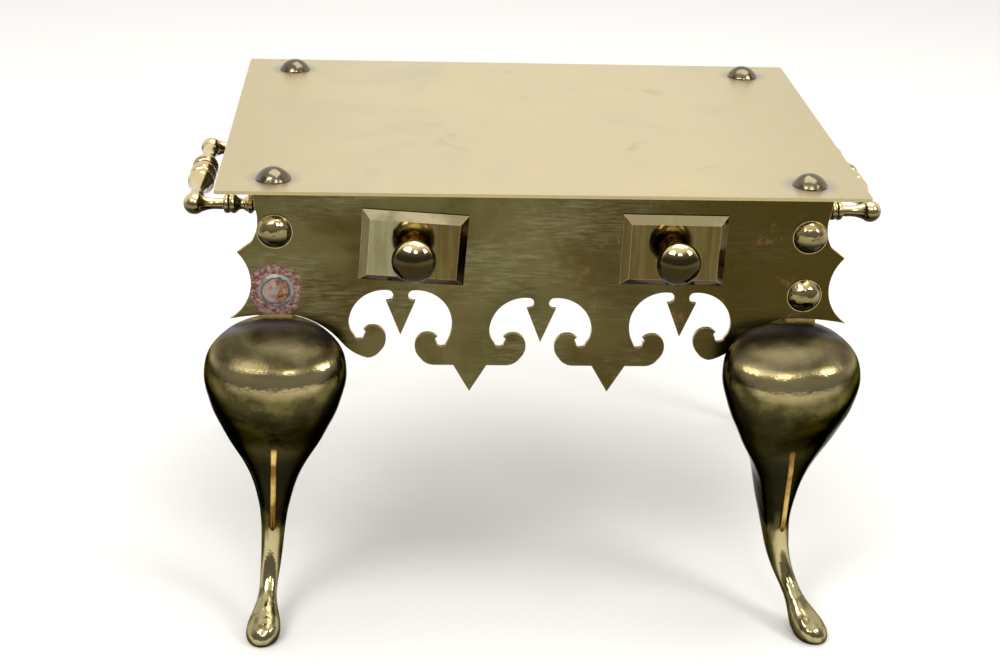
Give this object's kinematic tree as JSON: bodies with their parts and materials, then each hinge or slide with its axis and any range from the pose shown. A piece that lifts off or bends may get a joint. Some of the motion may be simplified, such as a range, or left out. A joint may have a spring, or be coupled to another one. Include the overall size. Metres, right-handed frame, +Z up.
{
  "type": "fireside footman stand",
  "caption": "Low brass fireside stand: flat top, pierced apron with false drawer fronts and ball knobs, cabriole front legs, plain rear legs, turned side handles.",
  "frame": {"origin": "on the floor, under the middle of the whole stand", "axes": "+Z up, +X to the viewer's right, the apron and cabriole legs face -Y"},
  "size_m": [0.4356, 0.323, 0.287],
  "materials": {
    "plate_brass": "satin, worn, with grey and brown stains",
    "apron_brass": "brushed along its length, dulled to olive gold",
    "leg_brass": "polished casting with brown tarnish in the hollows",
    "stud_brass": "polished domes",
    "solder_scar": "rough coppery patch where a cap came off",
    "plaque_brass": "highly polished with bright bevels",
    "knob_brass": "highly polished",
    "washer_brass": "dull",
    "handle_brass": "polished, darker in the grooves",
    "blackened_iron": "blackened bar, dull",
    "rivet_iron": "hammered, dull",
    "nut_steel": "greyed steel"
  },
  "bodies": {
    "root": {"top_plate": "plate_brass", "front_apron": "apron_brass", "left_side_rail": "blackened_iron", "right_side_rail": "blackened_iron", "rear_rail": "blackened_iron", "plate_studs": "stud_brass", "plate_stud_burrs": "stud_brass", "leg_studs": "stud_brass", "bare_stud": "solder_scar", "leg_stud_nuts": "nut_steel", "left_plaque": "plaque_brass", "right_plaque": "plaque_brass", "left_knob": "knob_brass", "right_knob": "knob_brass", "knob_washers": "washer_brass", "knob_nuts": "nut_steel", "left_front_leg": "leg_brass", "right_front_leg": "leg_brass", "left_rear_leg": "blackened_iron", "right_rear_leg": "blackened_iron", "rear_leg_rivets": "rivet_iron", "rear_rail_rivets": "rivet_iron", "left_handle_front_arm": "handle_brass", "right_handle_front_arm": "handle_brass", "left_handle_rear_arm": "handle_brass", "right_handle_rear_arm": "handle_brass", "left_handle_grip": "handle_brass", "right_handle_grip": "handle_brass", "handle_arm_nuts": "nut_steel"}
  },
  "joints": []
}
